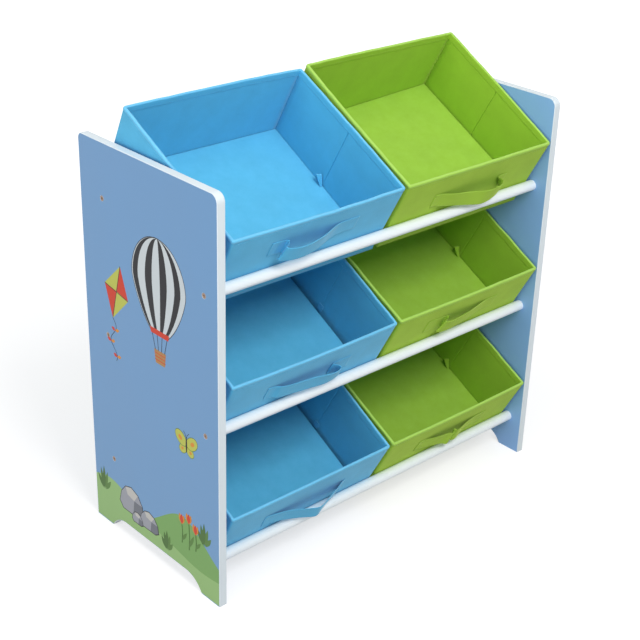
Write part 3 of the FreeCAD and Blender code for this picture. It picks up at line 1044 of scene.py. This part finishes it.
def ribbon(cloth, upper, lower, thickness, count, across, curl=0.0):
    """A ribbon between two edge lines of as many points each. Returns its faces."""
    top, bottom = smooth_curve(upper), smooth_curve(lower)
    runs = lengths_along((top + bottom) / 2, False)
    wanted = np.linspace(0, runs[-1], count)
    top, bottom = (
        np.stack([np.interp(wanted, runs, edge[:, axis]) for axis in range(3)], 1)
        for edge in (top, bottom)
    )
    along = np.gradient((top + bottom) / 2, axis=0)
    down = bottom - top
    normals = np.cross(along, down)
    normals /= np.linalg.norm(normals, axis=1)[:, None]
    shares = (1 - np.cos(np.linspace(0, math.pi, across))) / 2
    front, back = [], []
    for share in shares:
        cup = curl * math.sin(math.pi * share)
        half_thick = thickness / 2 * min(1.0, 0.35 + 6 * min(share, 1 - share))
        line = top + down * share + normals * cup
        front.append(line + normals * half_thick)
        back.append(line - normals * half_thick)
    cloth.grid(front + back[::-1], closed_rows=True, caps=True)
    return np.array(front), np.array(back), normals


# %% [markdown]
# Each strap of the photo hangs in its own way. Some buckle into a sharp fold just
# past the sewn end, some bow out in front of the rod. An entry gives the height of
# the strap's upper edge on the wall, and then, for the upper and the lower edge,
# places as (along the strap from its middle, off the wall), all in millimetres.

# %% How the six straps hang
STRAPS = {
    "top_left": (
        94,
        [(-66, 0.9), (-57, 1.4), (-50, 2.6), (-53, 8), (-60, 12.5), (-52, 16.5),
         (-38, 18.5), (-20, 17), (4, 12), (22, 6), (34, 2.4), (46, 1.2), (60, 0.9)],
        [(-66, 0.9), (-59, 1.4), (-53, 2.4), (-57, 7), (-64, 10.5), (-56, 15),
         (-40, 18), (-20, 17.5), (4, 12.5), (24, 6), (38, 2.4), (50, 1.2), (60, 0.9)],
    ),
    "top_right": (
        83,
        [(-64, 1.6), (-55, 4), (-40, 8.5), (-21, 11.5), (0, 16), (17, 20),
         (40, 19), (52, 15), (56, 9), (52, 4.8), (56, 2), (64, 1.2)],
        [(-64, 1.6), (-50, 5.5), (-36, 9.5), (-15, 15), (2, 20), (14, 21.8),
         (30, 20.5), (48, 16), (62, 10.5), (71, 6), (69, 3), (69, 1.6)],
    ),
    "middle_left": (
        86,
        [(-66, 1.2), (-60, 2.6), (-56, 5), (-45, 7), (-32, 8.2), (-4, 10.5),
         (22, 14.5), (37, 15), (46, 11.5), (43, 6), (38, 2.2), (44, 1.2), (58, 0.9)],
        [(-66, 1.2), (-60, 3), (-54, 6), (-42, 8), (-30, 9), (-2, 11.5),
         (24, 14), (42, 12.5), (56, 8.5), (50, 4.4), (38, 1.8), (44, 1.2), (58, 0.9)],
    ),
    "middle_right": (
        90,
        [(-60, 0.9), (-44, 1.2), (-35, 2.2), (-38, 5.6), (-47, 9), (-40, 12),
         (-24, 12), (3, 9), (28, 4.5), (45, 1.6), (58, 0.9)],
        [(-60, 0.9), (-48, 1.2), (-39, 2.2), (-42, 5), (-52, 8), (-44, 11),
         (-26, 11.5), (2, 9), (30, 4.4), (47, 1.6), (58, 0.9)],
    ),
    "bottom_left": (
        82,
        [(-64, 1.6), (-50, 4), (-34, 7.5), (-9, 16.5), (5, 21), (12, 21.5),
         (22, 19), (36, 14), (54, 8), (64, 3.5), (70, 1.4)],
        [(-64, 1.6), (-50, 4), (-36, 7), (-13, 14.5), (5, 21.5), (13, 23),
         (22, 19.5), (37, 13.5), (56, 7.5), (66, 3.5), (71, 1.4)],
    ),
    "bottom_right": (
        87,
        [(-62, 1.5), (-50, 4), (-34, 6.5), (-20, 8), (-10, 10.5), (-5, 9.5),
         (-2, 5.5), (1, 9.5), (7, 9.5), (17, 6.5), (30, 3.6), (42, 2), (56, 0.9)],
        [(-62, 1.5), (-50, 3.4), (-38, 6), (-24, 8.5), (-14, 13.5), (-9, 12.5),
         (-4, 8.5), (0, 12), (8, 12), (20, 8), (31, 4.6), (42, 2.2), (56, 0.9)],
    ),
}
STRAP_WIDTH = 25
STRAP_END = (75, 0.9)
STRAP_THICKNESS = 1.0 * MM
STRAP_STITCHES = {"pitch": 3.4 * MM, "length": 2.5 * MM}
print("straps:", len(STRAPS))


def make_strap(name, column, habit, space):
    """A strap with thread along both edges and in two seams at each end."""
    cloth = Cloth(f"{name}_strap", [strap_cloth[column], thread[column]])
    upper, *edges = STRAPS[name.removesuffix("_bin")]
    reach, off_wall = STRAP_END
    rails = []
    for height, edge in zip((upper, upper - STRAP_WIDTH), edges):
        rail = []
        for x, off in [(-reach, off_wall), *edge, (reach, off_wall)]:
            push = lean(habit, FRONT, 0.5 + x * MM / WIDTH, height * MM)
            rail.append((WIDTH / 2 + x * MM, -off * MM - push, height * MM))
        rails.append(rail)
    face, back, normals = ribbon(cloth, *rails, STRAP_THICKNESS, 120, 9, curl=0.5 * MM)
    way = -1 if normals[2][1] > 0 else 1
    front = face if way > 0 else back
    for row in (1, -2):
        sew(cloth, front[row][1:-1], normals[1:-1] * way, **STRAP_STITCHES)
    for seam in (2, 8, -9, -3):
        path = front[1:-1, seam]
        sew(cloth, path, [normals[seam] * way] * len(path), **STRAP_STITCHES)
    return cloth.make(space)


# %% [markdown]
# Each floor board has a short ribbon loop at its right edge to lift it by. In three
# bins it stands up and leans to the rear. In two it is pressed to the wall, and in
# one, where the board rides high, it hangs down behind the board's edge.

# %% Floor tabs
STANDING_TABS = ("top_left_bin", "middle_right_bin", "bottom_right_bin")
HANGING_TABS = ("top_right_bin",)
# the loop's left and right edge, as (off the board's right edge, rear of the tab's
# middle, up from the board), in mm
STANDING_LEFT = [(-5, -1.5, 0.2), (-6.6, 2.5, 5), (-9, 8.5, 12.5), (-9.4, 10.4, 14.4),
                 (-9, 11.4, 13), (-6.6, 5, 5), (-5, 1, 0.2)]
STANDING_RIGHT = [(-1.2, -2, 0.2), (-0.6, 1.5, 5), (-0.4, 6.5, 12.5), (-0.4, 8.4, 14.4),
                  (-0.4, 9.4, 13), (-0.6, 4, 5), (-1.2, 0.5, 0.2)]
PRESSED_LEFT = [(-0.9, -5, -0.4), (-0.6, -5, 1), (-0.45, -5, 3), (-0.4, -5, 8), (-0.3, -5, 11),
                (0.15, -5, 11), (0.15, -5, 5)]
PRESSED_RIGHT = [(x, -along, up) for x, along, up in PRESSED_LEFT]
TAB_THICKNESS = 0.7 * MM


def make_tab(name, column, habit, space):
    """A ribbon loop that is sewn under the floor board's right edge."""
    tilt = floor_tilt(name, *corners_in(f"{name}_floor_board", space))
    low, high = corners_in(f"{name}_floor_tab", space)
    cloth = Cloth(f"{name}_pull_tab", [strap_cloth[column]])
    if name in STANDING_TABS:
        edges = STANDING_LEFT, STANDING_RIGHT
    else:
        edges = PRESSED_LEFT, PRESSED_RIGHT
    if name in HANGING_TABS:
        edges = [[(off, along, -up) for off, along, up in edge] for edge in edges]
    sewn = Vector((high.x, (low.y + high.y) / 2, low.z))
    rails = [[sewn + Vector(spot) * MM for spot in edge] for edge in edges]
    ribbon(cloth, *rails, TAB_THICKNESS, 40, 6)
    return cloth.make(space @ tilt)


# %% [markdown]
# ## Screws
# Each rod is held by a countersunk screw through the board. The head is bronze, as
# wide as the countersink, and has a cross recess with sloping walls. The recess is
# a hole in the head's face: filling the ring between two outlines makes it.

# %% Screw heads with a cross recess
HEAD_RADIUS = 4.0 * MM
SHANK_RADIUS = 2.5 * MM
SCREW_LENGTH = 45 * MM
RECESS_REACH = 2.3 * MM
RECESS_HALF = 0.55 * MM
RECESS_DEPTH = 1.5 * MM
RECESS_TAPER = (0.55, 0.8)  # of its reach and of its half width, at the bottom
CROWN = 0.03 * MM
SCREW_TURN = 0.9
ROUND = 32


def cross_outline(reach, half):
    """Twelve corners of a cross, anticlockwise."""
    arm = [(reach, -half), (reach, half), (half, half)]
    corners = []
    for quarter in range(4):
        cos, sin = math.cos(quarter * math.pi / 2), math.sin(quarter * math.pi / 2)
        corners += [(x * cos - y * sin, x * sin + y * cos) for x, y in arm]
    return corners


def add_screw(shaped, centre, inward, angle):
    """One screw whose head lies at centre. inward is +1 or -1 along X."""
    spin = Matrix.Rotation(angle, 3, "X")

    def spot(y, z, depth):
        return shaped.verts.new(centre + Vector((depth * inward, 0, 0)) + spin @ Vector((0, y, z)))

    def ring(radius, depth):
        turns = [2 * math.pi * step / ROUND for step in range(ROUND)]
        return [spot(radius * math.cos(a), radius * math.sin(a), depth) for a in turns]

    def loop(points):
        return [shaped.edges.new((points[i - 1], points[i])) for i in range(len(points))]

    def wall(outer, inner):
        for i in range(len(outer)):
            shaped.faces.new((outer[i - 1], outer[i], inner[i], inner[i - 1]))

    crown = ring(HEAD_RADIUS * 0.94, CROWN)
    edge = ring(HEAD_RADIUS, 0.22 * MM)
    neck = ring(SHANK_RADIUS, HEAD_RADIUS - SHANK_RADIUS + 0.2 * MM)
    tail = ring(SHANK_RADIUS, SCREW_LENGTH)
    mouth = [spot(y, z, CROWN) for y, z in cross_outline(RECESS_REACH, RECESS_HALF)]
    taper_reach, taper_half = RECESS_TAPER
    floor_cross = cross_outline(RECESS_REACH * taper_reach, RECESS_HALF * taper_half)
    deep = [spot(y, z, RECESS_DEPTH) for y, z in floor_cross]
    bmesh.ops.triangle_fill(shaped, edges=loop(crown) + loop(mouth), use_beauty=True)
    for outer, inner in ((crown, edge), (edge, neck), (neck, tail), (mouth, deep)):
        wall(outer, inner)
    shaped.faces.new(deep)
    shaped.faces.new(tail)


PANEL = {side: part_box(f"{side}_panel") for side in COLUMNS}
OUTER_FACE = {"left": PANEL["left"][0].x, "right": PANEL["right"][1].x}
OUTWARDS = {"left": -1, "right": 1}
RODS = [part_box(f"{row}_{end}_rod") for row in ROWS for end in ("front", "rear")]

for side in COLUMNS:
    shaped = bmesh.new()
    for number, (low, high) in enumerate(RODS):
        middle = (low + high) / 2
        centre = Vector((OUTER_FACE[side], middle.y, middle.z))
        add_screw(shaped, centre, -OUTWARDS[side], number * SCREW_TURN + 0.4)
    mesh = bpy.data.meshes.new(f"{side}_screws")
    shaped.to_mesh(mesh)
    shaped.free()
    mend_faces(mesh)
    mesh.materials.append(screw_metal)
    dress(show(f"{side}_screws", mesh), "frame", "screw_steel", f"{side}_panel_screws")
print("screws on each board:", len(RODS))

# %% [markdown]
# ## The picture printed on the boards
# The outer faces of the boards carry a bright printed picture. This one shows green
# hills with boulders and tulips, a striped balloon, a kite and a butterfly. Each
# shape is a layer of ink a hundredth of a millimetre above the one before it, so
# its outline stays sharp however close one looks. A place in the picture is (u, z)
# in millimetres: u from the rear edge to the front edge, z up from the floor.

# %% Inks
INKS = {
    "grass": linear(150, 186, 118), "meadow": linear(122, 165, 92),
    "leaf": linear(72, 108, 44), "stem": linear(88, 126, 56), "white": linear(206, 212, 214),
    "black": linear(26, 26, 30), "red": linear(206, 60, 34),
    "yellow": linear(190, 192, 84), "orange": linear(216, 140, 50),
    "grey": linear(158, 158, 166), "shade": linear(112, 114, 122),
    "straw": linear(176, 130, 78), "chalk": linear(196, 192, 186),
}
ink_paint = {
    word: paint_material(f"ink_{word}", colour, gloss=0.2) for word, colour in INKS.items()
}
INK_LAYER = 0.012 * MM
HILL_LAYERS = 18
PICTURE_WIDTH = (PANEL["left"][1].y - PANEL["left"][0].y) / MM


# %% Helper that lays ink
class Motif:
    """A printed shape made of flat layers of ink on one board."""

    def __init__(self, side, name, layer):
        self.side = side
        self.name = f"{side}_print_{name}"
        self.layer = layer
        self.places, self.faces, self.slots, self.inks = [], [], [], []

    def ink(self, outline, colour):
        """Fill an outline of (u, z) points, on top of what is there."""
        self.layer += 1
        if colour not in self.inks:
            self.inks.append(colour)
        rear = PANEL[self.side][1].y
        start, count = len(self.places), len(outline)
        for lift in (0.3, self.layer):
            x = OUTER_FACE[self.side] + OUTWARDS[self.side] * lift * INK_LAYER
            self.places += [(x, rear - u * MM, z * MM) for u, z in outline]
        bottom = list(range(start, start + count))
        top = list(range(start + count, start + 2 * count))
        self.faces += [top, bottom[::-1]]
        self.faces += [(bottom[i - 1], bottom[i], top[i], top[i - 1]) for i in range(count)]
        self.slots += [self.inks.index(colour)] * (count + 2)

    def line(self, points, half, colour="black"):
        """A thin line of ink through several points."""
        points = [Vector(point) for point in points]
        left, right = [], []
        for number, point in enumerate(points):
            before = points[max(number - 1, 0)]
            after = points[min(number + 1, len(points) - 1)]
            side = (after - before).orthogonal().normalized() * half
            left.append(tuple(point + side))
            right.append(tuple(point - side))
        self.ink(left + right[::-1], colour)

    def make(self):
        paints = [ink_paint[colour] for colour in self.inks]
        piece = make_piece(self.name, self.places, self.faces, paints, self.slots)
        dress(piece, "frame", "painted_board")


def oval(u, z, wide, tall, tilt=0.0, count=40):
    """An oval of half width wide and half height tall, turned by tilt degrees."""
    cos, sin = math.cos(math.radians(tilt)), math.sin(math.radians(tilt))
    points = []
    for step in range(count):
        turn = 2 * math.pi * step / count
        a, b = wide * math.cos(turn), tall * math.sin(turn)
        points.append((u + a * cos - b * sin, z + a * sin + b * cos))
    return points


def leaf(foot, tip, half, count=10):
    """A pointed blade from foot to tip."""
    foot, tip = Vector(foot), Vector(tip)
    side = (tip - foot).orthogonal().normalized() * half
    shares = [step / count for step in range(1, count)]
    left = [foot.lerp(tip, t) + side * math.sin(math.pi * t) for t in shares]
    right = [foot.lerp(tip, t) - side * math.sin(math.pi * t) for t in reversed(shares)]
    return [tuple(p) for p in [foot, *left, tip, *right]]


# %% Hills that follow the foot of the board
FOOT, ARCH_RISE, ARCH_BEND = 41, 20, 40
INK_MARGIN = 1.1


def sole(u):
    """The height of the board's lower edge, with the arch between its feet."""
    nearest = min(u, PICTURE_WIDTH - u)
    reach = math.sqrt(ARCH_BEND ** 2 - (ARCH_BEND - ARCH_RISE) ** 2)
    if nearest <= FOOT:
        return 0.0
    if nearest >= FOOT + reach:
        return ARCH_RISE
    return math.sqrt(ARCH_BEND ** 2 - (FOOT + reach - nearest) ** 2) - ARCH_BEND + ARCH_RISE


def hill(crest):
    """Everything between the board's lower edge and a crest line."""
    us = np.linspace(INK_MARGIN, PICTURE_WIDTH - INK_MARGIN, 90)
    return [(u, sole(u) + INK_MARGIN) for u in us] + [(u, crest(u)) for u in us[::-1]]


def print_hills(motif):
    motif.ink(hill(lambda u: 44 + 62 * math.exp(-((u - 215) / 70) ** 2)), "meadow")
    motif.ink(hill(lambda u: 38 + 40 * math.exp(-((u - 40) / 95) ** 2) + 3 * math.sin(u / 23)),
              "grass")
    for u, z, size in ((22, 54, 1.0), (176, 30, 0.8), (262, 84, 0.9)):
        for number, (aside, tall) in enumerate(((-16, 22), (17, 20), (-8, 34), (9, 33), (0, 40))):
            foot = (u + aside * 0.2 * size, z)
            tip = (u + aside * size, z + tall * size)
            motif.ink(leaf(foot, tip, 3.4), "stem" if number % 2 else "leaf")


# %% Boulders, tulips and butterfly
BOULDERS = [
    # corner, width and height of each boulder
    ((62, 46), 58, 44), ((112, 40), 44, 30), ((92, 36), 26, 18),
]
BOULDER_OUTLINE = [
    (0.0, 0.22), (0.08, 0.62), (0.26, 0.9), (0.5, 1.0), (0.78, 0.86), (0.95, 0.55), (1.0, 0.16),
    (0.82, 0.0), (0.14, 0.0),
]
BOULDER_FACETS = [
    ("shade", [(0.62, 0.56), (0.95, 0.55), (1.0, 0.16), (0.82, 0.0), (0.56, 0.0)]),
    ("chalk", [(0.26, 0.9), (0.5, 1.0), (0.78, 0.86), (0.62, 0.56), (0.34, 0.64)]),
]


def print_boulders(motif):
    for (u, z), wide, tall in BOULDERS:
        for grow, colour in ((1.2, "black"), (0, "grey")):
            motif.ink(
                [(u + a * wide + grow * (2 * a - 1), z + b * tall + grow * (2 * b - 1))
                 for a, b in BOULDER_OUTLINE],
                colour,
            )
        for colour, facet in BOULDER_FACETS:
            motif.ink([(u + a * wide, z + b * tall) for a, b in facet], colour)


def print_tulips(motif):
    for u, z, tall in ((212, 62, 34), (228, 58, 46), (243, 64, 30)):
        top = z + tall
        motif.line([(u, z), (u + 1.5, z + tall / 2), (u, top)], 0.8, "leaf")
        motif.ink(leaf((u, z + 4), (u + 11, z + tall * 0.62), 2.6), "stem")
        for aside, colour in ((-5, "orange"), (5, "orange"), (0, "red")):
            motif.ink(leaf((u, top - 3), (u + aside, top + 13), 3.8), colour)


def print_butterfly(motif):
    u, z = 226, 226
    for wide, tall, du, dz, tilt in ((8, 6.5, 8, -8, -30), (8, 6.5, -8, -8, 30),
                                     (13, 9, 12, 7, 35), (13, 9, -12, 7, -35)):
        motif.ink(oval(u + du, z + dz, wide + 0.8, tall + 0.8, tilt), "leaf")
        motif.ink(oval(u + du, z + dz, wide, tall, tilt), "yellow")
        motif.ink(oval(u + du * 1.1, z + dz, wide * 0.35, tall * 0.35, tilt), "orange")
    motif.ink(oval(u, z, 1.6, 11), "black")
    for way in (-1, 1):
        motif.line([(u, z + 10), (u + 2 * way, z + 16), (u + 6 * way, z + 20)], 0.4)


# %% Balloon and kite
BALLOON = (172, 440, 58, 64)


def meridian(share, grow=0.0, count=22):
    """Points down the balloon at a share of its half width, from -1 to 1."""
    u, z, wide, tall = BALLOON
    points = []
    for step in range(count + 1):
        turn = math.pi * 0.86 * step / count
        slim = 1 - 0.3 * max(0.0, -math.cos(turn))
        drop = (tall + grow) * math.cos(turn) * (1.22 if math.cos(turn) < 0 else 1.0)
        points.append((u + share * (wide + grow) * math.sin(turn) * slim, z + drop))
    return points


def print_balloon(motif):
    u = BALLOON[0]
    gores = [(-1, 1, 1.1, "black"), (-1, 1, 0.0, "white")]
    for left, right in ((-0.97, -0.78), (-0.5, -0.24), (0.06, 0.32), (0.6, 0.82)):
        gores.append((left, right, 0.0, "black"))
    for left, right, grow, colour in gores:
        motif.ink(meridian(left, grow) + meridian(right, grow)[::-1], colour)
    mouth, low = meridian(1)[-1]
    reach = mouth - u
    motif.ink(
        [(u - reach - 1, low - 3), (u + reach + 1, low - 3), (u + reach + 3, low + 5),
         (u - reach - 3, low + 5)],
        "red",
    )
    for share in (-0.9, -0.3, 0.3, 0.9):
        motif.line([(u + share * reach, low - 3), (u + share * 11, low - 26)], 0.5)
    motif.ink([(u - 13, low - 25), (u + 13, low - 25), (u + 10, low - 45), (u - 10, low - 45)],
              "straw")
    for drop in (30, 35, 40):
        motif.line([(u - 11.6, low - drop), (u + 11.6, low - drop)], 0.6, "red")


def print_kite(motif):
    u, z = 74, 392
    top, low = (u + 12, z + 44), (u - 10, z - 40)
    left, right = (u - 26, z + 8), (u + 28, z - 2)
    heart = (u + 2, z + 4)
    for sail, colour in (
        ([top, left, heart], "yellow"), ([top, heart, right], "red"),
        ([left, low, heart], "red"), ([heart, low, right], "yellow"),
    ):
        motif.ink(sail, colour)
    motif.line([top, low], 0.6)
    motif.line([left, right], 0.6)
    tail = [(low[0] + 7 * math.sin(t * 1.9), low[1] - 14 * t) for t in np.linspace(0, 4.6, 30)]
    motif.line(tail, 0.5)
    for number in (8, 17, 26):
        knot = Vector(tail[number])
        for way, colour in ((-1, "red"), (1, "orange")):
            motif.ink(leaf(knot, knot + Vector((9 * way, 3)), 2.6), colour)


# %% Print both boards
MOTIFS = {
    "hills": (print_hills, 0), "boulders": (print_boulders, HILL_LAYERS),
    "tulips": (print_tulips, HILL_LAYERS), "butterfly": (print_butterfly, 0),
    "balloon": (print_balloon, 0), "kite": (print_kite, 0),
}
for side in COLUMNS:
    for name, (draw, layers_below) in MOTIFS.items():
        motif = Motif(side, name, layers_below)
        draw(motif)
        motif.make()
print("printed on both boards:", list(MOTIFS))

# %% [markdown]
# ## Bins out of square
# Cloth sewn over loose boards gives: the corners of a rim sit a few millimetres from
# where they should be. Each corner has its own pull, and what lies between follows
# in proportion, from nothing at the bottom to the whole pull at the rim.

# %% Pulls at the rim's corners
# front left, front right, rear right, rear left, as (across, to the rear, up) in mm
CORNER_PULLS = {
    "top_left_bin": ((0, 0, 0), (0, 0, 0), (0, 0, 0), (-4.2, 2, 0)),
    "top_right_bin": ((0, 0, 0), (0, 0, 0), (1.4, 0, 7.5), (-1, 0, 6)),
}


def out_of_square(piece, name):
    """Move a bin's piece along with the pulls at the corners of its rim."""
    if name not in CORNER_PULLS:
        return piece
    vertices = piece.data.vertices
    places = np.array([vertex.co for vertex in vertices])
    across, rear, up = np.clip(places / (WIDTH, DEPTH, HEIGHT), 0, 1).T
    weights = np.stack(
        [(1 - across) * (1 - rear), across * (1 - rear), across * rear, (1 - across) * rear], 1
    )
    moved = places + (weights * up[:, None]) @ np.array(CORNER_PULLS[name]) * MM
    vertices.foreach_set("co", moved.ravel())
    piece.data.update()
    return piece


# %% Sew the six bins
LEAST_LEAN, LEAN_STEP = 0.7 * MM, 0.35 * MM


def bin_habit(number):
    """A bin's own ways: how far each wall leans out, and how sharp its folds are."""
    steps = [(number * 7 + wall * 3) % 5 for wall in range(4)]
    return {
        "seed": number * 1.7 + 0.3,
        "lean": [LEAST_LEAN + LEAN_STEP * step for step in steps],
        "fold": 1.0 if BINS[number][0] == "top" else 0.55,
    }


for number, (row, column) in enumerate(BINS):
    name = f"{row}_{column}_bin"
    floor_body = f"{row}_{column}_floor"
    space = bin_space(row, column)
    habit = bin_habit(number)
    colour = NAMES[column]
    facts = (name, column, habit, space)
    for make, slot, node in (
        (make_shell, f"{colour}_fabric", "cover"), (make_lining, f"{colour}_lining", "liner"),
        (make_rim, f"{colour}_fabric", "rim_hem"), (make_boards, "grey_board", "wall_boards"),
        (make_strap, f"{colour}_fabric", "handle"),
    ):
        dress(out_of_square(make(*facts), name), name, slot, f"{name}_{node}")
    dress(make_bottom(*facts), name, f"{colour}_fabric", f"{name}_base")
    dress(make_floor_cloth(*facts), floor_body, f"{colour}_lining", f"{name}_floor_board")
    dress(make_tab(*facts), floor_body, f"{colour}_fabric", f"{name}_floor_tab")
    print("sewn:", name)
